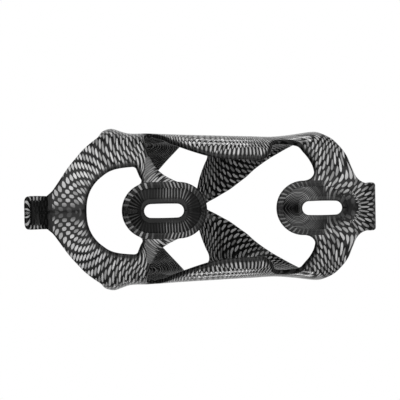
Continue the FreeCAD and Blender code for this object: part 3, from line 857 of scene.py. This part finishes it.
LOWER_CHART_END = -37.5  # the shell's chart takes over below this
FOOT_CHART_TOP = -50
FAN_INNER = 7.9  # radius inside which the shell's chart stays
FAN_SLOPE = 1.9  # how steep the fan's side is
STRUT_CHART_TOP = 46


def choose_charts():
    """The number in CHARTS of each triangle's chart."""
    s, t = laid[sheet].mean(1).T
    x = middle[sheet].mean(1)[:, 0]
    chart = np.zeros(len(sheet), int)
    for boss, chosen, first in ((upper, label == "upper_boss", 1),
                                (lower, (label == "lower_boss") & (t > LOWER_CHART_END), 3)):
        on_slope = boss_fields(boss, x, t)[1] > RIM_WIDTH
        chart[chosen] = np.where(on_slope, first, first + 1)[chosen]
    below = t - FAN_CENTRE
    chart[(t < FOOT_CHART_TOP) & (np.hypot(s, below) > FAN_INNER) & (s < -FAN_SLOPE * below)] = 5
    chart[t > TONGUE_ROOT] = 6
    chart[(label == "strut") & (t < STRUT_CHART_TOP)] = 7
    return chart


chart = choose_charts()
corner_print = np.stack(CHARTS)[chart[:, None], sheet]  # triangle, corner, value

# -------- both halves, both faces of the wall
count = len(laid)
left_index = np.where(on_middle, np.arange(count), count + np.cumsum(~on_middle) - 1)
mirror = np.array([-1.0, 1.0, 1.0])
both_middle = np.vstack([middle, middle[~on_middle] * mirror])
both_normal = np.vstack([normal, normal[~on_middle] * mirror])
both_half = np.concatenate([half_wall, half_wall[~on_middle]])
both_sheet = np.vstack([sheet, left_index[sheet][:, ::-1]])
# The left half mirrors v. Round a boss it mirrors u, so the streaks carry on over the middle line.
on_boss = (chart >= 1) & (chart <= 4)
left_print = corner_print[:, ::-1].copy()
left_print[~on_boss, :, 1] *= -1
left_print[on_boss, :, 0] *= -1
both_print = np.vstack([corner_print, left_print])
names = [name if name in SINGLE else name + "_right" for name in label]
names += [name if name in SINGLE else name + "_left" for name in label]
names = np.array(names)

is_closed = both_half == 0
outer_count = len(both_middle)
inner_index = np.where(is_closed, np.arange(outer_count), outer_count + np.cumsum(~is_closed) - 1)
offset = both_normal * both_half[:, None]
skin_points = np.vstack([both_middle + offset, (both_middle - offset)[~is_closed]]) * MM
skin_faces = np.vstack([both_sheet, inner_index[both_sheet][:, ::-1]])

whole_mesh = bpy.data.meshes.new("whole_skin")
whole_mesh.from_pydata(skin_points, [], skin_faces)
skin_normals = np.empty(len(skin_points) * 3, np.float32)
whole_mesh.vertex_normals.foreach_get("vector", skin_normals)
skin_normals = skin_normals.reshape(-1, 3)
bpy.data.meshes.remove(whole_mesh)
# Away from the rolled edges the skin is parallel to the wall's middle, which is smoother to shade.
plain = smoothstep(np.minimum(edge_gap / EDGE_ROLL, slot_gap / SLOT_ROLL), 1.0, 1.4)
plain = np.concatenate([plain, plain[~on_middle]])
parallel = np.vstack([both_normal, -both_normal[~is_closed]])
plain = np.concatenate([plain, plain[~is_closed]])[:, None]
skin_normals = skin_normals * (1 - plain) + parallel * plain
skin_normals /= np.linalg.norm(skin_normals, axis=1)[:, None]


def caps_for(faces):
    """Faces across the wall where a piece is cut from its neighbours."""
    edges = np.vstack([faces[:, [0, 1]], faces[:, [1, 2]], faces[:, [2, 0]]])
    present = {tuple(edge) for edge in edges.tolist()}
    found = []
    for a, b in present:
        if (b, a) in present or (is_closed[a] and is_closed[b]):
            continue
        ring = [b, a, int(inner_index[a]), int(inner_index[b])]
        found.append(tuple(dict.fromkeys(ring)))
    return found


def make_piece(name, material):
    """One piece's closed mesh, with its print laid on and the whole skin's normals."""
    chosen = names == name
    faces = both_sheet[chosen]
    prints = both_print[chosen]
    caps = caps_for(faces)
    skin = np.vstack([faces, inner_index[faces][:, ::-1]])
    prints = np.vstack([prints, prints[:, ::-1]])
    used, index = np.unique(np.concatenate([skin.ravel(), np.array([i for cap in caps for i in cap], int)]),
                            return_inverse=True)
    index = index.tolist()
    face_list = [index[k:k + 3] for k in range(0, skin.size, 3)]
    at = skin.size
    for cap in caps:
        face_list.append(index[at:at + len(cap)])
        at += len(cap)
    mesh = bpy.data.meshes.new(name + "_skin")
    mesh.from_pydata(skin_points[used], [], face_list)
    smooth = np.arange(len(face_list)) < len(skin)
    mesh.polygons.foreach_set("use_smooth", smooth)
    values = np.zeros((len(mesh.loops), both_print.shape[2]), np.float32)
    values[:skin.size] = prints.reshape(skin.size, -1)
    values[skin.size:, 3:5] = 0.5
    values[skin.size:, 5] = DARK
    mesh.uv_layers.new(name="print").data.foreach_set("uv", values[:, :2].ravel())
    film = mesh.color_attributes.new("film", "FLOAT_COLOR", "CORNER")
    film.data.foreach_set("color", values[:, 2:].ravel())
    normals = np.zeros((len(mesh.loops), 3), np.float32)
    normals[:skin.size] = skin_normals[skin.ravel()]
    mesh.normals_split_custom_set(normals)
    mesh.materials.append(material)
    piece = bpy.data.objects.new(name + "_skin", mesh)
    bpy.context.collection.objects.link(piece)
    return piece


# -------- the printed, clear-coated surface
CELL_CORNER = 2.5  # 2 makes oval cells, and more makes squarer ones
INK_EDGE = (0.75, 1.25)  # how soft a cell's edge is
CELL_TONES = (0.5, 1.3)  # how much the light cells differ
RIPPLE_SCALE, RIPPLE_STRENGTH, RIPPLE_HEIGHT = 350.0, 0.03, 0.0001
CLEAR_COAT = {"Roughness": 0.35, "Specular IOR Level": 0.0, "Coat Weight": 0.6, "Coat Roughness": 0.1}


def make_print_material():
    """Draws the checkerboard from each point's six values, under a faintly rippled coat."""
    material = bpy.data.materials.new("printed_moulding")
    material.use_nodes = True
    nodes, links = material.node_tree.nodes, material.node_tree.links
    surface = nodes["Principled BSDF"]

    def node(kind, *inputs, **settings):
        made = nodes.new("ShaderNode" + kind)
        for key, value in settings.items():
            setattr(made, key, value)
        for socket, value in zip(made.inputs, inputs):
            if isinstance(value, bpy.types.NodeSocket):
                links.new(value, socket)
            elif value is not None:
                socket.default_value = value
        return made

    def calc(operation, *inputs):
        return node("Math", *inputs, operation=operation).outputs[0]

    place_uv = node("SeparateXYZ", node("UVMap", uv_map="print").outputs[0]).outputs
    film = node("Attribute", attribute_name="film")
    film_parts = node("SeparateColor", film.outputs["Color"]).outputs
    along = calc("MULTIPLY", calc("ADD", place_uv[0], place_uv[1]), 0.5)
    across = calc("MULTIPLY", calc("SUBTRACT", place_uv[0], place_uv[1]), 0.5)
    cell_a, cell_b = calc("ROUND", along), calc("ROUND", across)
    part_a, part_b = calc("SUBTRACT", along, cell_a), calc("SUBTRACT", across, cell_b)
    off_u = calc("ABSOLUTE", calc("ADD", part_a, part_b))
    off_v = calc("ABSOLUTE", calc("SUBTRACT", part_a, part_b))
    shape = calc("ADD", calc("POWER", calc("DIVIDE", off_u, film_parts[1]), CELL_CORNER),
                 calc("POWER", calc("DIVIDE", off_v, film_parts[2]), CELL_CORNER))
    ink = node("MapRange", shape, *INK_EDGE, 1.0, 0.0).outputs[0]
    cell_row = calc("ADD", cell_a, cell_b)
    cell_side = calc("ABSOLUTE", calc("SUBTRACT", cell_a, cell_b))
    cell = node("CombineXYZ", cell_row, cell_side, 0.0).outputs[0]
    chance = node("TexWhiteNoise", cell, noise_dimensions="3D").outputs["Value"]
    level = node("MapRange", chance, 0.0, 1.0, *CELL_TONES).outputs[0]
    strength = calc("MULTIPLY", calc("MULTIPLY", film_parts[0], level), ink)
    total = calc("ADD", strength, film.outputs["Alpha"])
    colour = node("CombineColor", total, total, total).outputs[0]
    links.new(colour, surface.inputs["Base Color"])
    ripple = node("TexNoise", node("TexCoord").outputs["Object"])
    ripple.inputs["Scale"].default_value = RIPPLE_SCALE
    bump = node("Bump", RIPPLE_STRENGTH, RIPPLE_HEIGHT)
    links.new(ripple.outputs[0], bump.inputs["Height"])
    links.new(bump.outputs[0], surface.inputs["Normal"])
    links.new(bump.outputs[0], surface.inputs["Coat Normal"])
    for socket, value in CLEAR_COAT.items():
        surface.inputs[socket].default_value = value
    return material


material = make_print_material()
for name in sorted(set(names.tolist())):
    piece = make_piece(name, material)
    if name.startswith("claw"):
        side = name.split("_")[1]
        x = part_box(name)[1].x if side == "right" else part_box(name)[0].x
        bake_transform(piece)
    elif name == "top_tongue":
        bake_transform(piece)
    else:
        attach(piece, "moulding")
    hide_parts(name)


# -------- floor, lights, camera
LIGHT_DISTANCE = 0.8
WIDE = 180  # degrees of spread of an ordinary panel
BAND_CREST = Vector((0.034, (AXIS_Y + 13) * MM, 0.035))  # what a narrow beam is aimed at


def side_light(name, side, degrees, height, width, length, power, spread):
    """An upright panel beside the object. Degrees are round from straight behind it."""
    angle = math.radians(degrees)
    aim = Vector((0, AXIS_Y * MM, height))
    at = aim + Vector((side * math.sin(angle), math.cos(angle), 0)) * LIGHT_DISTANCE
    if spread < WIDE:
        aim = Vector((side * BAND_CREST.x, BAND_CREST.y, height + BAND_CREST.z))
    data = bpy.data.lights.new(name, "AREA")
    data.shape = "RECTANGLE"
    data.size, data.size_y, data.energy = width, length, power
    data.spread = math.radians(spread)
    lamp = bpy.data.objects.new(name, data)
    lamp.location = at
    lamp.rotation_euler = (aim - at).to_track_quat("-Z", "Y").to_euler()
    lamp.visible_camera = False
    bpy.context.collection.objects.link(lamp)


# name, degrees, height, width, length, power on the -X side, spread, and the +X side's share of the power
for name, degrees, height, width, length, power, spread, share in [
    ("key", 34, 0.02, 1.0, 1.3, 4.7, WIDE, 0.72),
    ("rake", 94, 0.02, 0.55, 1.2, 0.9, WIDE, 0.5),
    ("glint_inner", 125.5, -0.03, 0.06, 0.085, 0.00016, 7, 1.0),
    ("glint_outer", 138, -0.028, 0.05, 0.1, 0.00011, 7, 1.0),
    ("glint_low", 113, -0.128, 0.04, 0.03, 0.00004, 7, 1.0),
]:
    side_light(name + "_left", -1, degrees, height, width, length, power, spread)
    side_light(name + "_right", 1, degrees, height, width, length, power * share, spread)

# The camera sees a plain white world. It lights the object only from a patch straight in front, which is
# PATCH_LIGHT strong where the ray's y is under the first of PATCH_EDGE, and REST_LIGHT past the second.
PATCH_EDGE = (-0.95, -0.66)
PATCH_LIGHT, REST_LIGHT = 0.8, 0.02
world = bpy.data.worlds.new("studio")
bpy.context.scene.world = world
world.use_nodes = True
tree = world.node_tree
kinds = ("LightPath", "TexCoord", "SeparateXYZ", "MapRange", "Background", "MixShader")
path, where, split, shade, seen, mix = (tree.nodes.new("ShaderNode" + kind) for kind in kinds)
lit = tree.nodes["Background"]
tree.links.new(where.outputs["Generated"], split.inputs[0])
tree.links.new(split.outputs[1], shade.inputs[0])
for socket, value in zip(shade.inputs[1:5], (*PATCH_EDGE, PATCH_LIGHT, REST_LIGHT)):
    socket.default_value = value
tree.links.new(shade.outputs[0], lit.inputs["Strength"])
tree.links.new(path.outputs["Is Camera Ray"], mix.inputs[0])
tree.links.new(lit.outputs[0], mix.inputs[1])
tree.links.new(seen.outputs[0], mix.inputs[2])
tree.links.new(mix.outputs[0], tree.nodes["World Output"].inputs[0])
for shader in (lit, seen):
    shader.inputs["Color"].default_value = (1, 1, 1, 1)

FLOOR_PALE = (0.8, 0.8, 0.8, 1)
FLOOR_GLOW = (0.55, 0.55, 0.55, 1)  # brings the floor up to the white world for the camera
bpy.ops.mesh.primitive_cylinder_add(vertices=96, radius=0.24, depth=0.004, location=(0, -0.03, -0.135))
floor = bpy.context.object
floor.name = "studio_floor"
paint = bpy.data.materials.new("studio_floor")
paint.use_nodes = True
paint_surface = paint.node_tree.nodes["Principled BSDF"]
paint_surface.inputs["Base Color"].default_value = FLOOR_PALE
paint_surface.inputs["Roughness"].default_value = 0.6
paint_surface.inputs["Emission Color"].default_value = FLOOR_GLOW
paint_path = paint.node_tree.nodes.new("ShaderNodeLightPath")
paint.node_tree.links.new(paint_path.outputs["Is Camera Ray"], paint_surface.inputs["Emission Strength"])
floor.data.materials.append(paint)

# The camera stands behind the mounting side, with the object lying on its side in the picture.
AIM_LEFT, AIM_UP = 20.1, 4.37  # from the object's origin to the picture's middle
CAMERA_DISTANCE = 450  # from the bosses' lands
VIEW_WIDTH = 186  # what the picture spans at that distance
SENSOR = 36
turn = math.radians(0.9)  # round the bottle's axis
roll = math.atan(-0.0185)
ahead = Vector((math.sin(turn), -math.cos(turn), 0))
flat_x = Vector((math.cos(turn), math.sin(turn), 0))
right_way = -math.cos(roll) * Vector((0, 0, 1)) - math.sin(roll) * flat_x
up_way = math.sin(roll) * Vector((0, 0, 1)) - math.cos(roll) * flat_x
target = (-AIM_LEFT * right_way + AIM_UP * up_way) * MM
stand = target - CAMERA_DISTANCE * MM * ahead
camera_data = bpy.data.cameras.new("product_camera")
camera_data.sensor_width = SENSOR
camera_data.lens = SENSOR * CAMERA_DISTANCE / VIEW_WIDTH
camera = bpy.data.objects.new("product_camera", camera_data)
bpy.context.collection.objects.link(camera)
rows = zip(right_way, up_way, -ahead, stand)
camera.matrix_world = Matrix([tuple(row) for row in rows] + [(0, 0, 0, 1)])
bpy.context.scene.camera = camera
bpy.context.scene.view_settings.view_transform = "Standard"
